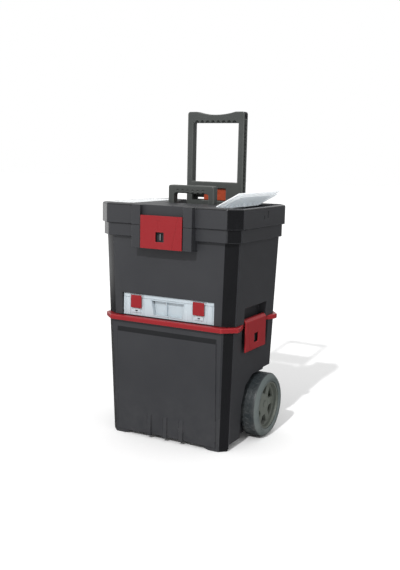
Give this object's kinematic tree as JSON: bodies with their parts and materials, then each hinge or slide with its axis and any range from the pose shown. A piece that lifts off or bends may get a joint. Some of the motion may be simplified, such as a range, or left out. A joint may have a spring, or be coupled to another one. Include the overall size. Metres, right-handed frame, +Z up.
{
  "type": "rolling tool box",
  "caption": "Wheeled two-level tool box: lower bin on wheels, lift-off tool box with lid wells and slide-out organizer, snap latches and a pull-out trolley handle.",
  "frame": {"origin": "on the floor under the middle of the object's box", "axes": "+X to the object's right seen from the front, +Y to the back, +Z up; the front latch faces -Y"},
  "size_m": [0.444, 0.328, 0.891],
  "materials": {
    "black_plastic": "injection-moulded polypropylene, satin walls with glossier edges",
    "red_plastic": "satin red polypropylene",
    "orange_plastic": "satin orange polypropylene",
    "handle_plastic": "dark olive-grey fibre-filled nylon, fine grain",
    "hub_plastic": "dark olive-grey polypropylene",
    "tyre_rubber": "grey soft tread",
    "steel": "zinc-plated rod and stampings",
    "clear_plastic": "translucent bluish-white polypropylene"
  },
  "bodies": {
    "bin": {"lower_bin": "black_plastic", "bin_rim": "red_plastic", "axle": "steel", "axle_washer_left": "steel", "axle_washer_right": "steel", "side_staple_left": "steel", "side_staple_right": "steel", "trolley_guide": "black_plastic"},
    "wheel_right": {"tyre_right": "tyre_rubber", "hub_right": "hub_plastic", "hub_cap_right": "hub_plastic"},
    "wheel_left": {"tyre_left": "tyre_rubber", "hub_left": "hub_plastic", "hub_cap_left": "hub_plastic"},
    "trolley": {"trolley_frame": "handle_plastic"},
    "button": {"release_button": "orange_plastic"},
    "tool_box": {"tool_box_body": "black_plastic", "bezel_cheek_left": "black_plastic", "bezel_cheek_right": "black_plastic", "front_staple": "steel", "lid_hinge_pin_left": "steel", "lid_hinge_pin_right": "steel", "side_latch_pin_left": "steel", "side_latch_pin_right": "steel"},
    "lid": {"lid": "black_plastic", "front_latch_pin": "steel", "carry_handle_pin_left": "steel", "carry_handle_pin_right": "steel"},
    "front_latch": {"front_latch": "red_plastic"},
    "side_latch_right": {"side_latch_right": "red_plastic"},
    "side_latch_left": {"side_latch_left": "red_plastic"},
    "carry_handle": {"carry_handle": "handle_plastic"},
    "cover_right": {"cover_right": "clear_plastic"},
    "cover_left": {"cover_left": "clear_plastic"},
    "organizer": {"organizer_base": "clear_plastic", "organizer_lid": "clear_plastic", "organizer_divider_1": "clear_plastic", "organizer_divider_2": "clear_plastic", "organizer_divider_3": "clear_plastic", "organizer_latch_pin_left": "steel", "organizer_latch_pin_right": "steel"},
    "organizer_latch_right": {"organizer_latch_right": "red_plastic"},
    "organizer_latch_left": {"organizer_latch_left": "red_plastic"}
  },
  "joints": [
    {"name": "wheel_right_spin", "type": "hinge", "parent": "bin", "child": "wheel_right", "pos_m": [0.194, 0.066, 0.089], "axis": [1, 0, 0], "continuous": true},
    {"name": "wheel_left_spin", "type": "hinge", "parent": "bin", "child": "wheel_left", "pos_m": [-0.194, 0.066, 0.089], "axis": [1, 0, 0], "continuous": true},
    {"name": "trolley_slide", "type": "slide", "parent": "bin", "child": "trolley", "axis": [0, 0, 1], "range_m": [-0.244, 0]},
    {"name": "button_press", "type": "slide", "parent": "trolley", "child": "button", "axis": [0, 1, 0], "range_m": [0, 0.004], "stiffness_N_per_m": 400},
    {"name": "tool_box_lift", "type": "slide", "parent": "bin", "child": "tool_box", "axis": [0, 0, 1], "range_m": [0, 0.25]},
    {"name": "lid_hinge", "type": "hinge", "parent": "tool_box", "child": "lid", "pos_m": [0, 0.155, 0.605], "axis": [-1, 0, 0], "range_deg": [0, 45]},
    {"name": "front_latch_hinge", "type": "hinge", "parent": "lid", "child": "front_latch", "pos_m": [0, -0.1585, 0.6095], "axis": [-1, 0, 0], "range_deg": [0, 110]},
    {"name": "side_latch_right_hinge", "type": "hinge", "parent": "tool_box", "child": "side_latch_right", "pos_m": [0.189, 0.008, 0.3425], "axis": [0, -1, 0], "range_deg": [0, 110]},
    {"name": "side_latch_left_hinge", "type": "hinge", "parent": "tool_box", "child": "side_latch_left", "pos_m": [-0.189, 0.008, 0.3425], "axis": [0, 1, 0], "range_deg": [0, 110]},
    {"name": "carry_handle_fold", "type": "hinge", "parent": "lid", "child": "carry_handle", "pos_m": [0, 0, 0.625], "axis": [-1, 0, 0], "range_deg": [0, 90]},
    {"name": "cover_right_hinge", "type": "hinge", "parent": "lid", "child": "cover_right", "pos_m": [0.1275, 0.0135, 0.638], "axis": [0, -1, 0], "range_deg": [-29, 80]},
    {"name": "cover_left_hinge", "type": "hinge", "parent": "lid", "child": "cover_left", "pos_m": [-0.1275, 0.0135, 0.638], "axis": [0, 1, 0], "range_deg": [0, 109]},
    {"name": "organizer_slide", "type": "slide", "parent": "tool_box", "child": "organizer", "axis": [0, -1, 0], "range_m": [0, 0.2]},
    {"name": "organizer_latch_right_hinge", "type": "hinge", "parent": "organizer", "child": "organizer_latch_right", "pos_m": [0.0962, -0.1266, 0.3915], "axis": [-1, 0, 0], "range_deg": [0, 100]},
    {"name": "organizer_latch_left_hinge", "type": "hinge", "parent": "organizer", "child": "organizer_latch_left", "pos_m": [-0.0962, -0.1266, 0.3915], "axis": [-1, 0, 0], "range_deg": [0, 100]}
  ]
}
